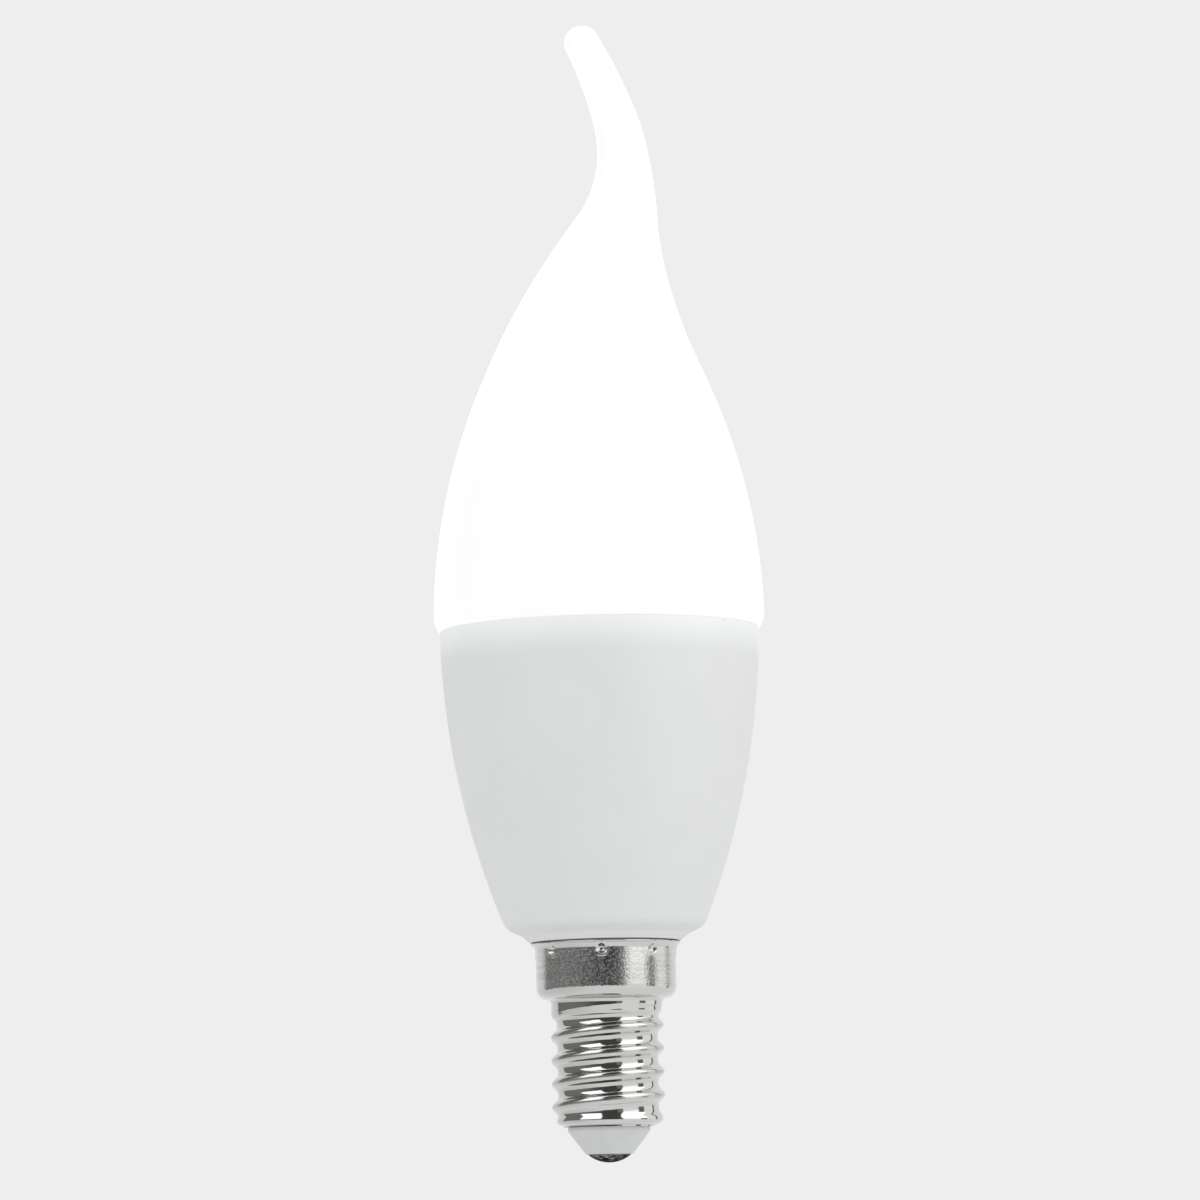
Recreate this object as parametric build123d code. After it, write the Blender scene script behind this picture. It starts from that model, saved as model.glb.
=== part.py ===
from build123d import *
import math
import os

# Driving dimensions in millimetres and degrees
# Heights add up from the end of the centre contact, which is the origin, with +Z towards the flame tip

# Centre contact: a domed button on a shank
contact_radius = 2.6
contact_dome = 0.95
contact_edge = 0.25
shank_radius = 1.2

# Insulator: a cone below the lip of the cap, with a flange inside it
nose_radius = 3.0
cone_height = 2.6
plug_edge = 0.45
flange_height = 2.2

# Screw cap: a drawn sleeve with a round right-hand thread
thread_radius = 6.83
thread_depth = 0.76
thread_pitch = 2.822
thread_length = 15.0
thread_phase = 43.0
root_land = 0.1
root_dip = 0.03
thread_facets = 7
lip_bevel = 0.5
shell_wall = 0.4
seat_ledge = 0.65
neck_radius = 6.87
neck_length = 0.5
run_out_height = 2.0
shoulder_height = 1.5
shoulder_round = 1.25
skirt_radius = 8.5
skirt_length = 4.3
flare_width = 0.6
flare_height = 1.15
rim_land = 0.4

# Crimp points: pressed into the skirt, which grips the neck of the housing
crimp_count = 8
crimp_phase = -94.0
crimp_drop = 1.3
crimp_radius = 0.62
crimp_depth = 0.3

# Housing: a bell between the cap and the diffuser
collar_overhang = 0.1
collar_width = 0.9
collar_height = 0.85
under_height = 0.95
bell_bottom_radius = 12.1
bell_top_radius = 19.45
bell_height = 36.25
bell_side_radius = 100.0
bell_corner_round = 0.7
wire_space = 6.0

# Diffuser: a dome that runs out in a bent flame tail
lip_overhang = 0.72
dome_bevel_width = 0.6
dome_bevel_height = 1.1
dome_height = 30.5
dome_side_radius = 75.5
dome_end_radius = 13.8
spigot_inset = 2.0
spigot_depth = 3.0
tail_straight = 2.4
swell_radius = 52.5
swell_angle = 19.8
turn_radius = 17.1
hook_radius = 23.4
hook_angle = 17.8
tip_bend_radius = 58.0
tip_bend_angle = 9.6
tail_taper = 24.1
stem_radius = 2.0
stem_taper = 2.45
stem_blend = 2.1
tail_stations = 15

# Clearances of the fits
shank_clearance = 0.05
insulator_clearance = 0.05
neck_clearance = 0.1
neck_end_clearance = 0.6
spigot_clearance = 0.15

# Levels and radii that follow from the dimensions above
nose_level = contact_dome + contact_edge
lip_level = nose_level + cone_height + plug_edge
ledge_level = lip_level + shell_wall
insulator_top = ledge_level + flange_height
neck_level = lip_level + thread_length
shoulder_level = neck_level + neck_length
skirt_level = shoulder_level + shoulder_height
flare_level = skirt_level + skirt_length
rim_level = flare_level + flare_height
crimp_level = rim_level - crimp_drop
collar_level = rim_level + collar_height
bell_level = collar_level + under_height
seam_level = bell_level + bell_height
tail_level = seam_level + dome_height

root_radius = thread_radius - thread_depth
bore_radius = root_radius - shell_wall
opening_radius = bore_radius - seat_ledge
sleeve_radius = skirt_radius - shell_wall
rim_radius = skirt_radius + flare_width
collar_radius = rim_radius + collar_overhang
under_radius = collar_radius + collar_width
dome_radius = bell_top_radius + lip_overhang
spigot_radius = bell_top_radius - spigot_inset

# Height of the wave of the thread at the edges of its topmost facet, which is the crest
crest_wave = (1 + math.cos(math.pi / thread_facets)) / 2


def revolved(*edges):
    """Turn a closed outline, drawn with radius as x and height as y, about the axis of the bulb."""
    return revolve(Plane.XZ * make_face(Curve() + list(edges)), Axis.Z)


def circle_nearest(solid, level, radius):
    """Find the circular edge of a turned solid that lies nearest to a height and a radius."""
    circles = solid.edges().filter_by(GeomType.CIRCLE)
    return min(circles, key=lambda edge: math.hypot(edge.center().Z - level, edge.radius - radius))


def arc_radius(rise, half_width):
    """Radius of the arc that starts square to its axis, rises so far and spreads so wide."""
    return (rise**2 + half_width**2) / (2 * rise)


def make_centre_contact():
    """Domed button whose flat back seats on the nose of the insulator, with its shank in the bore."""
    dome = RadiusArc((0, 0), (contact_radius, contact_dome), -arc_radius(contact_dome, contact_radius))
    button = Polyline(
        (contact_radius, contact_dome),
        (contact_radius, nose_level),
        (shank_radius, nose_level),
        (shank_radius, insulator_top),
        (0, insulator_top),
        (0, 0),
    )
    return revolved(dome, button)


def make_insulator():
    """Cone and plug in the opening of the cap, flange on the ledge inside it."""
    plug_radius = opening_radius - insulator_clearance
    flange_radius = bore_radius - insulator_clearance
    shank_bore = shank_radius + shank_clearance
    return revolved(
        Polyline(
            (shank_bore, nose_level),
            (nose_radius, nose_level),
            (plug_radius, nose_level + cone_height),
            (plug_radius, ledge_level),
            (flange_radius, ledge_level),
            (flange_radius, insulator_top),
            (shank_bore, insulator_top),
            (shank_bore, nose_level),
        )
    )


def thread_turn():
    """One turn of the ridge: a wave in flat facets from root over crest to root, carried along a helix."""
    foot = thread_pitch / 2 - root_land / 2
    buried_radius = root_radius - shell_wall / 2
    section = [(buried_radius, -foot)]
    for i in range(thread_facets + 1):
        height = foot * (2 * i / thread_facets - 1)
        wave = (1 + math.cos(math.pi * height / foot)) / 2
        section.append((root_radius - root_dip + (thread_depth + root_dip) * wave / crest_wave, height))
    section += [(buried_radius, foot), (buried_radius, -foot)]
    helix = Helix(thread_pitch, thread_pitch, thread_radius)
    return sweep(Plane.XZ * make_face(Polyline(*section)), path=helix, is_frenet=True)


def thread_ridge():
    """Turns of the ridge from below the lip, where it is cut off, to the shoulder, where its end is buried."""
    turns = math.ceil((shoulder_level - lip_level + thread_pitch / 2) / thread_pitch)
    turn = Rot(0, 0, thread_phase) * thread_turn()
    return [Pos(0, 0, shoulder_level - (i + 1) * thread_pitch) * turn for i in range(turns)]


def lip_cutter():
    """Ring that bevels the lower lip of the cap and lets the ridge fade out above it."""
    clear_radius = thread_radius + thread_depth
    bevel_radius = root_radius - lip_bevel
    below_level = lip_level - 2 * thread_pitch
    return revolved(
        Polyline(
            (bevel_radius, lip_level),
            (clear_radius, lip_level + clear_radius - bevel_radius),
            (clear_radius, below_level),
            (0, below_level),
            (0, lip_level),
            (bevel_radius, lip_level),
        )
    )


def cap_sleeve():
    """Turned outline of the cap: barrel, neck, shoulder, skirt and flared rim, and its plain bore."""
    solid = revolved(
        Polyline(
            (opening_radius, lip_level),
            (root_radius, lip_level),
            (root_radius, neck_level - run_out_height),
            (neck_radius, neck_level),
            (neck_radius, shoulder_level),
            (skirt_radius, shoulder_level),
            (skirt_radius, flare_level),
            (rim_radius, rim_level),
            (rim_radius - rim_land, rim_level),
            (sleeve_radius, flare_level),
            (sleeve_radius, skirt_level),
            (bore_radius, skirt_level),
            (bore_radius, ledge_level),
            (opening_radius, ledge_level),
            (opening_radius, lip_level),
        )
    )
    return fillet(circle_nearest(solid, shoulder_level, skirt_radius), shoulder_round)


def crimp_points():
    """Points of the crimping tool round the skirt, as cones with their tips turned inwards."""
    tip_radius = skirt_radius - crimp_depth
    punch = Cone(0, 2 * crimp_radius, 2 * crimp_depth, align=(Align.CENTER, Align.CENTER, Align.MIN))
    ring = PolarLocations(tip_radius, crimp_count, start_angle=crimp_phase)
    return [Pos(0, 0, crimp_level) * place * Rot(0, 90, 0) * punch for place in ring]


def make_screw_cap():
    """Sleeve with its thread on the outside and the crimp points pressed into the skirt."""
    cap = cap_sleeve().fuse(*thread_ridge()) - lip_cutter()
    return cap.cut(*crimp_points())


def make_housing():
    """Bell with a collar on the rim of the cap, a neck and nose inside it, and a recess for the diffuser."""
    neck_end = skirt_level + neck_end_clearance
    nose_end = insulator_top + wire_space
    bell_neck_radius = sleeve_radius - neck_clearance
    bell_nose_radius = bore_radius - neck_clearance
    recess_radius = spigot_radius + spigot_clearance
    recess_level = seam_level - spigot_depth - spigot_clearance
    bell = revolved(
        Polyline(
            (0, nose_end),
            (bell_nose_radius, nose_end),
            (bell_nose_radius, neck_end),
            (bell_neck_radius, neck_end),
            (bell_neck_radius, rim_level),
            (collar_radius, rim_level),
            (under_radius, collar_level),
            (bell_bottom_radius, bell_level),
        ),
        RadiusArc((bell_bottom_radius, bell_level), (bell_top_radius, seam_level), -bell_side_radius),
        Polyline(
            (bell_top_radius, seam_level),
            (recess_radius, seam_level),
            (recess_radius, recess_level),
            (0, recess_level),
            (0, nose_end),
        ),
    )
    return fillet(circle_nearest(bell, bell_level, bell_bottom_radius), bell_corner_round)


def tail_line():
    """Middle line of the tail in the XZ plane: up, out to one side, upright, then hooked back over."""
    rise = Line((0, tail_level), (0, tail_level + tail_straight))
    swell = JernArc(rise @ 1, rise % 1, swell_radius, -swell_angle)
    turn = JernArc(swell @ 1, swell % 1, turn_radius, swell_angle)
    hook = JernArc(turn @ 1, turn % 1, hook_radius, hook_angle)
    tip = JernArc(hook @ 1, hook % 1, tip_bend_radius, tip_bend_angle)
    return Wire((Plane.XZ * (Curve() + [rise, swell, turn, hook, tip])).edges())


def tail_radius(distance, length):
    """Radius of the tail: a cone that blends softly into a slender stem, the larger of the two."""
    stem = stem_radius + (length - distance) * math.tan(math.radians(stem_taper))
    stem_start = stem_radius + length * math.tan(math.radians(stem_taper))
    cone_start = dome_end_radius - stem_blend**2 / (4 * (dome_end_radius - stem_start))
    cone = cone_start - distance * math.tan(math.radians(tail_taper))
    return (cone + stem + math.hypot(cone - stem, stem_blend)) / 2


def tail_plane(line, distance):
    """Plane of a ring: level while the tail leans out, square to its line once it hooks back."""
    heading = line.tangent_at(distance, PositionMode.LENGTH)
    normal = (min(heading.X, 0), 0, heading.Z)
    return Plane(line.position_at(distance, PositionMode.LENGTH), x_dir=(0, 1, 0), z_dir=normal)


def tail_ring(line, distance):
    """Round section of the tail at a distance along its line."""
    return tail_plane(line, distance) * Circle(tail_radius(distance, line.length))


def make_diffuser():
    """Dome with a spigot in the housing, lofted into the bent tail and closed by a round tip."""
    lip_top = seam_level + dome_bevel_height
    dome = revolved(
        Polyline(
            (0, seam_level - spigot_depth),
            (spigot_radius, seam_level - spigot_depth),
            (spigot_radius, seam_level),
            (dome_radius - dome_bevel_width, seam_level),
            (dome_radius, lip_top),
        ),
        RadiusArc((dome_radius, lip_top), (dome_end_radius, tail_level), -dome_side_radius),
        Polyline((dome_end_radius, tail_level), (0, tail_level), (0, seam_level - spigot_depth)),
    )
    line = tail_line()
    rings = [tail_ring(line, line.length * i / (tail_stations - 1)) for i in range(tail_stations)]
    tip_radius = tail_radius(line.length, line.length)
    tip = Sphere(tip_radius, arc_size1=0, align=(Align.CENTER, Align.CENTER, Align.MIN))
    return dome.fuse(loft(rings), tail_plane(line, line.length) * tip)


parts = {
    "centre_contact": make_centre_contact(),
    "insulator": make_insulator(),
    "screw_cap": make_screw_cap(),
    "housing": make_housing(),
    "diffuser": make_diffuser(),
}
os.makedirs("parts", exist_ok=True)
for node, solid in parts.items():
    export_step(solid, f"parts/{node}.step")
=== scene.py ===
"""Candle bulb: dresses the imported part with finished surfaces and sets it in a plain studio.

Sizes of the pieces are in millimetres and degrees, and become metres where a mesh is made.
"""

import logging
import math
from collections.abc import Callable, Sequence
from dataclasses import dataclass
from enum import Enum
from typing import ClassVar

import bpy
from mathutils import Matrix, Quaternion, Vector


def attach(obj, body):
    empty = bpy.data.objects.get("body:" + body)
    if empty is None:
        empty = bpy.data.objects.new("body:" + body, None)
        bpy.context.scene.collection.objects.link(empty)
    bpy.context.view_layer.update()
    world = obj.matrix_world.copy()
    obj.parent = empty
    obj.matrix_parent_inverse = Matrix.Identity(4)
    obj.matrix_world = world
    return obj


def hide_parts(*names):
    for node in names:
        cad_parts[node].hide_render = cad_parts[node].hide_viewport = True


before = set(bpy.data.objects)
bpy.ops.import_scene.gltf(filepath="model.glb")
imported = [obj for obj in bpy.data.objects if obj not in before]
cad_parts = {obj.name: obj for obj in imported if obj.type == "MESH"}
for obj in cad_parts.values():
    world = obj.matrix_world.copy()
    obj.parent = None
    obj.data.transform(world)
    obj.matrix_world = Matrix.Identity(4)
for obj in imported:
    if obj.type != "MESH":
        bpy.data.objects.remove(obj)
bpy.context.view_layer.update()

MM = 0.001
TURN = 360.0
LOG = logging.getLogger("candle_bulb")

# Difference in millimetres within which two levels or radii of a turned piece are the same.
TOLERANCE = 0.001

# Results of a shader's easing, and the range in which nearly all of a noise lies.
UP = (0.0, 1.0)
DOWN = (1.0, 0.0)
NOISE_RANGE = (0.2, 0.8)

Point = tuple[float, float]
Triple = tuple[float, float, float]
Easing = tuple[Point, Point]
Colour = tuple[float, float, float]
Piece = bpy.types.Object
Material = bpy.types.Material
Tree = bpy.types.NodeTree
Socket = bpy.types.NodeSocket
Inputs = dict[str | int, object]
Given = dict[str, Socket]


class Node(Enum):
    """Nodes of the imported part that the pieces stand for."""

    CONTACT = "centre_contact"
    INSULATOR = "insulator"
    CAP = "screw_cap"
    HOUSING = "housing"
    DIFFUSER = "diffuser"


class Slot(Enum):
    """Material slots of the record."""

    CONTACT = "contact_metal"
    INSULATOR = "insulator_plastic"
    CAP = "cap_nickel"
    HOUSING = "housing_plastic"
    DIFFUSER = "diffuser_opal"


def smooth_step(low: float, high: float, value: float) -> float:
    """Ease a value from 0 at the low limit to 1 at the high one."""
    share = min(1.0, max(0.0, (value - low) / (high - low)))
    return share * share * (3.0 - 2.0 * share)


def larger(first: float, second: float, blend: float) -> float:
    """Give the larger of two values, eased where they differ by less than about the blend."""
    return (first + second + math.hypot(first - second, blend)) / 2.0


def grey(level: float) -> Colour:
    """Give the grey of a level."""
    return (level, level, level)


class Outline:
    """Points of an outline, with radius first and height second, drawn corner by corner."""

    @staticmethod
    def bowed(start: Point, end: Point, radius: float, steps: int) -> list[Point]:
        """Draw an arc that bulges to the right of its way from start to end.

        Args:
            start: First point, which is left out of the result.
            end: Last point.
            radius: Radius of the arc; below zero it bulges to the left.
            steps: Number of straight steps along the arc.

        Returns:
            The points after the start.
        """
        run, rise = end[0] - start[0], end[1] - start[1]
        chord = math.hypot(run, rise)
        size = abs(radius)
        side = math.copysign(1.0, radius)
        depth = math.sqrt(size * size - chord * chord / 4.0)
        middle = (
            (start[0] + end[0]) / 2.0 - side * depth * rise / chord,
            (start[1] + end[1]) / 2.0 + side * depth * run / chord,
        )
        first = math.atan2(start[1] - middle[1], start[0] - middle[0])
        sweep = side * 2.0 * math.asin(chord / (2.0 * size))
        turns = [first + sweep * i / steps for i in range(1, steps + 1)]
        return [(middle[0] + size * math.cos(a), middle[1] + size * math.sin(a)) for a in turns]

    @staticmethod
    def rounded(corners: Sequence[Triple], steps: int) -> list[Point]:
        """Round the corners of an open outline.

        Args:
            corners: Radius, height and rounding radius of each corner; the ends aren't rounded.
            steps: Number of straight steps round each corner.

        Returns:
            Its points.
        """
        points = [corners[0][:2]]
        for before, here, after in zip(corners, corners[1:], corners[2:]):
            size = here[2]
            if size == 0.0:
                points.append(here[:2])
                continue
            corner = Vector(here[:2])
            back = (Vector(before[:2]) - corner).normalized()
            ahead = (Vector(after[:2]) - corner).normalized()
            half = back.angle(ahead) / 2.0
            middle = corner + (back + ahead).normalized() * size / math.sin(half)
            first = corner + back * size / math.tan(half) - middle
            last = corner + ahead * size / math.tan(half) - middle
            for i in range(steps + 1):
                spoke = first.lerp(last, i / steps).normalized() * size
                points.append(tuple(middle + spoke))
        points.append(corners[-1][:2])
        return points

    @staticmethod
    def rows(start: float, end: float, step: float) -> list[float]:
        """Divide a height into even rows of about the given step, both ends included."""
        count = max(1, round(abs(end - start) / step))
        return [start + (end - start) * i / count for i in range(count + 1)]


class Bench:
    """Modelling tools that work as by hand, with operators on what is selected."""

    MERGE = 1e-7

    @staticmethod
    def turned(name: str, outline: Sequence[Point], steps: int, sweep: float = math.tau) -> Piece:
        """Draw an outline point by point and spin it about the upright axis.

        Args:
            name: Name of the new piece.
            outline: Radius and height of each point, in millimetres.
            steps: Number of steps of the spin.
            sweep: Angle of the spin in radians.

        Returns:
            The piece, in object mode and selected alone.
        """
        bpy.ops.object.select_all(action="DESELECT")
        bpy.ops.mesh.primitive_plane_add(size=MM, location=(0.0, 0.0, 0.0))
        piece = bpy.context.object
        piece.name = piece.data.name = name
        bpy.ops.object.mode_set(mode="EDIT")
        bpy.ops.mesh.select_mode(type="VERT")
        bpy.ops.mesh.select_all(action="SELECT")
        bpy.ops.mesh.merge(type="CENTER")
        bpy.ops.transform.translate(value=(outline[0][0] * MM, 0.0, outline[0][1] * MM))
        for here, there in zip(outline, outline[1:]):
            move = ((there[0] - here[0]) * MM, 0.0, (there[1] - here[1]) * MM)
            bpy.ops.mesh.extrude_vertices_move(TRANSFORM_OT_translate={"value": move})
        bpy.ops.mesh.select_all(action="SELECT")
        bpy.ops.mesh.spin(steps=steps, angle=sweep, center=(0.0, 0.0, 0.0), axis=(0.0, 0.0, 1.0))
        Bench.close()
        return piece

    @staticmethod
    def close() -> None:
        """Merge doubled points, turn all faces outwards and leave edit mode."""
        bpy.ops.mesh.select_all(action="SELECT")
        bpy.ops.mesh.remove_doubles(threshold=Bench.MERGE)
        bpy.ops.mesh.normals_make_consistent(inside=False)
        bpy.ops.mesh.select_all(action="DESELECT")
        bpy.ops.object.mode_set(mode="OBJECT")

    @staticmethod
    def grow_ring(start: Vector, end: Vector, scale: float, lean: float = 0.0) -> None:
        """Extrude the selected ring to its next place.

        Args:
            start: Middle of the ring before, in metres.
            end: Middle of the ring after.
            scale: Ratio of the ring's size after to before.
            lean: Further turn of the ring towards +X, in radians.
        """
        bpy.ops.mesh.extrude_region_move(TRANSFORM_OT_translate={"value": end - start})
        bpy.ops.transform.resize(value=(scale, scale, scale), center_override=end)
        if lean:
            bpy.ops.transform.rotate(value=-lean, orient_axis="Y", center_override=end)


class Board:
    """A shader tree on which nodes are placed and wired."""

    NOISE_ROUGHNESS = 0.55

    # Sockets of a Mix node for colours: share, first and second colour, and the result.
    MIX_INPUTS = (0, 6, 7)
    MIX_RESULT = 2

    def __init__(self, tree: Tree) -> None:
        """Take the tree to work on."""
        self.tree = tree

    def feed(self, node: bpy.types.Node, inputs: Inputs) -> None:
        """Set or wire inputs of a node.

        Args:
            node: Node to feed.
            inputs: Number, colour or socket for each input, by name or index.
        """
        for key, value in inputs.items():
            if isinstance(value, Socket):
                self.tree.links.new(value, node.inputs[key])
            else:
                opaque = (*value, 1.0) if isinstance(value, tuple) else value
                node.inputs[key].default_value = opaque

    def add(self, kind: str, inputs: Inputs | None = None, **settings: object) -> bpy.types.Node:
        """Place a node.

        Args:
            kind: Type of the node.
            inputs: Number, colour or socket for each input, by name or index.
            settings: Properties of the node.

        Returns:
            The new node.
        """
        node = self.tree.nodes.new(kind)
        for name, value in settings.items():
            setattr(node, name, value)
        self.feed(node, inputs or {})
        return node

    def math(self, operation: str, *values: object) -> Socket:
        """Place a Math node and give its result."""
        return self.add("ShaderNodeMath", dict(enumerate(values)), operation=operation).outputs[0]

    def plus(self, first: object, second: object) -> Socket:
        """Add two values."""
        return self.math("ADD", first, second)

    def times(self, first: object, second: object) -> Socket:
        """Multiply two values."""
        return self.math("MULTIPLY", first, second)

    def ramp(self, value: Socket, limits: Point, results: Point = UP) -> Socket:
        """Ease a value between two limits into the results for them, held at both ends."""
        inputs = dict(zip(("From Min", "From Max", "To Min", "To Max"), (*limits, *results)), Value=value)
        return self.add("ShaderNodeMapRange", inputs, interpolation_type="SMOOTHSTEP").outputs["Result"]

    def mix(self, share: Socket, first: object, second: object) -> Socket:
        """Mix two colours, or sockets of colours, by the share of the second."""
        inputs = dict(zip(self.MIX_INPUTS, (share, first, second)))
        return self.add("ShaderNodeMix", inputs, data_type="RGBA").outputs[self.MIX_RESULT]

    def place(self) -> Socket:
        """Give the place of a point in the part's frame, in millimetres."""
        inputs = {0: self.add("ShaderNodeTexCoord").outputs["Object"], "Scale": 1.0 / MM}
        return self.add("ShaderNodeVectorMath", inputs, operation="SCALE").outputs[0]

    def parts(self, vector: Socket) -> tuple[Socket, ...]:
        """Split a vector in its three parts."""
        return tuple(self.add("ShaderNodeSeparateXYZ", {0: vector}).outputs)

    def level(self) -> Socket:
        """Give the height of a point in the part's frame, in millimetres."""
        return self.parts(self.place())[2]

    def reach(self) -> Socket:
        """Give the distance of a point from the upright axis, in millimetres."""
        x, y, _ = self.parts(self.place())
        return self.math("SQRT", self.plus(self.times(x, x), self.times(y, y)))

    def noise(self, vector: Socket, size: Socket, detail: float) -> Socket:
        """Give a soft noise of about the given grain in millimetres, with finer layers by its detail."""
        inputs = {"Vector": vector, "Scale": self.math("DIVIDE", 1.0, size), "Detail": detail}
        return self.add("ShaderNodeTexNoise", inputs | {"Roughness": self.NOISE_ROUGHNESS}).outputs[0]

    def bump(self, height: Socket, depth: float) -> Socket:
        """Turn a height from 0 to 1 into a normal; the depth is in millimetres."""
        return self.add("ShaderNodeBump", {"Height": height, "Distance": depth * MM}).outputs[0]

    def group(self, tree: Tree, *values: float) -> bpy.types.NodeSocketCollection:
        """Place a node group with values for its inputs, in their order, and give its outputs."""
        return self.add("ShaderNodeGroup", dict(enumerate(values)), node_tree=tree).outputs


Wiring = Callable[[Board, Given, Socket], Sequence[Socket]]


class Effects:
    """Shader node groups from which the finishes are made.

    The grain takes its size and that of its clouds, the specks their spacing, size and share of the cells,
    and the lines their spacing and how far they are stretched round the axis.
    """

    GRAIN_DETAIL = 3.0
    LINE_DETAIL = 2.0
    TONE_RANGE = (0.3, 0.7)
    SPECK_LEAST = 0.4

    def __init__(self) -> None:
        """Build each group once."""
        self.grain = self._build("moulded_grain", ("Grain", "Cloud"), ("Height", "Tone"), self._grain)
        self.specks = self._build("fine_specks", ("Spacing", "Size", "Share"), ("Mask",), self._specks)
        self.lines = self._build("turning_lines", ("Spacing", "Stretch"), ("Height",), self._lines)

    @staticmethod
    def _build(name: str, inputs: Sequence[str], outputs: Sequence[str], wire: Wiring) -> Tree:
        """Make a node group with named sockets.

        Args:
            name: Name of the group.
            inputs: Names of the inputs.
            outputs: Names of the outputs.
            wire: Places the nodes and gives a socket for each output.

        Returns:
            The group.
        """
        tree = bpy.data.node_groups.new(name, "ShaderNodeTree")
        for way, labels in (("INPUT", inputs), ("OUTPUT", outputs)):
            for label in labels:
                tree.interface.new_socket(label, in_out=way, socket_type="NodeSocketFloat")
        board = Board(tree)
        given = board.add("NodeGroupInput").outputs
        results = wire(board, {label: given[label] for label in inputs}, board.place())
        board.add("NodeGroupOutput", dict(zip(outputs, results)))
        return tree

    @staticmethod
    def _grain(board: Board, given: Given, place: Socket) -> Sequence[Socket]:
        """Wire the fine grain of moulded plastic and its cloudy tone."""
        cloud = board.noise(place, given["Cloud"], Effects.GRAIN_DETAIL)
        return board.noise(place, given["Grain"], Effects.GRAIN_DETAIL), board.ramp(cloud, Effects.TONE_RANGE)

    @staticmethod
    def _specks(board: Board, given: Given, place: Socket) -> Sequence[Socket]:
        """Wire small scattered specks, of which only a share of the cells has one.

        Args:
            board: Board of the group.
            given: Inputs of the group.
            place: Place of a point in millimetres.

        Returns:
            The mask, which is 1 in the middle of a speck.
        """
        scale = board.math("DIVIDE", 1.0, given["Spacing"])
        cells = board.add("ShaderNodeTexVoronoi", {"Vector": place, "Scale": scale}).outputs
        away = board.times(cells["Distance"], given["Spacing"])
        chance, spread, _ = board.parts(cells["Color"])
        size = board.times(given["Size"], board.plus(Effects.SPECK_LEAST, spread))
        inside = board.math("LESS_THAN", chance, given["Share"])
        edge = board.math("SUBTRACT", 1.0, board.math("MINIMUM", 1.0, board.math("DIVIDE", away, size)))
        return (board.times(inside, edge),)

    @staticmethod
    def _lines(board: Board, given: Given, place: Socket) -> Sequence[Socket]:
        """Wire fine lines round the axis, as a drawing die or a lathe leaves them.

        Args:
            board: Board of the group.
            given: Inputs of the group.
            place: Place of a point in millimetres.

        Returns:
            The height of the lines.
        """
        x, y, z = board.parts(place)
        x, y = (board.math("DIVIDE", part, given["Stretch"]) for part in (x, y))
        stretched = board.add("ShaderNodeCombineXYZ", {0: x, 1: y, 2: z}).outputs[0]
        return (board.noise(stretched, given["Spacing"], Effects.LINE_DETAIL),)


def empty_board(owner: Material | bpy.types.World) -> Board:
    """Give a material or a world an empty shader tree.

    Args:
        owner: Material or world.

    Returns:
        The board of its tree.
    """
    owner.use_nodes = True
    owner.node_tree.nodes.clear()
    return Board(owner.node_tree)


def new_material(name: str) -> tuple[Material, Board, bpy.types.Node]:
    """Make a material with one Principled shader.

    Args:
        name: Name of the material.

    Returns:
        The material, its board and its shader.
    """
    material = bpy.data.materials.new(name)
    board = empty_board(material)
    shader = board.add("ShaderNodeBsdfPrincipled")
    board.add("ShaderNodeOutputMaterial", {"Surface": shader.outputs[0]})
    return material, board, shader


@dataclass(frozen=True)
class OpalFinish:
    """Opal plastic, lit from inside."""

    colour: Colour = grey(0.62)
    glow: Colour = (0.99, 1.0, 1.0)
    glow_strength: float = 0.44
    glow_dip: float = 0.95
    roughness: Point = (0.32, 0.4)
    grain: Point = (0.35, 16.0)
    grain_depth: float = 0.006

    def material(self, effects: Effects) -> Material:
        """Make the material, with a faint cloud in its glow and a fine grain.

        Args:
            effects: Node groups.

        Returns:
            The material.
        """
        material, board, shader = new_material("opal_plastic")
        grain = board.group(effects.grain, *self.grain)
        dim = tuple(part * self.glow_dip for part in self.glow)
        inputs = {
            "Base Color": self.colour,
            "Emission Color": board.mix(grain["Tone"], dim, self.glow),
            "Emission Strength": self.glow_strength,
            "Roughness": board.ramp(grain["Height"], NOISE_RANGE, self.roughness),
            "Normal": board.bump(grain["Height"], self.grain_depth),
        }
        board.feed(shader, inputs)
        return material


@dataclass(frozen=True)
class HousingFinish:
    """Light-grey moulded plastic with a fine matt grain, and a painted glow a little below the seam."""

    light: Colour = (0.76, 0.774, 0.769)
    dark: Colour = (0.744, 0.758, 0.753)
    speck: Colour = (0.42, 0.41, 0.39)
    specks: Triple = (7.0, 0.22, 0.22)
    speck_cover: Easing = ((0.0, 0.5), (0.0, 0.6))
    # Painted glow under the seam, in place of light from the glowing diffuser: its reach, colour and
    # strength.
    seam_level: float = 64.75
    painted_glow_reach: float = 4.6
    glow: Colour = (0.13, 0.134, 0.134)
    glow_strength: float = 1.0
    roughness: Point = (0.46, 0.58)
    grain: Point = (0.3, 9.0)
    grain_depth: float = 0.02

    def material(self, effects: Effects) -> Material:
        """Make the material: cloudy tone, sparse specks, matt grain and the painted glow under the seam.

        Args:
            effects: Node groups.

        Returns:
            The material.
        """
        material, board, shader = new_material("housing_plastic")
        grain = board.group(effects.grain, *self.grain)
        specks = board.ramp(board.group(effects.specks, *self.specks)["Mask"], *self.speck_cover)
        # Painted glow: emission that fades in over the reach up to the seam, though the housing is no lamp.
        lit = board.ramp(board.level(), (self.seam_level - self.painted_glow_reach, self.seam_level))
        inputs = {
            "Base Color": board.mix(specks, board.mix(grain["Tone"], self.dark, self.light), self.speck),
            "Emission Color": board.mix(lit, grey(0.0), self.glow),
            "Emission Strength": self.glow_strength,
            "Roughness": board.ramp(grain["Height"], NOISE_RANGE, self.roughness),
            "Normal": board.bump(grain["Height"], self.grain_depth),
        }
        board.feed(shader, inputs)
        return material


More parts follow.
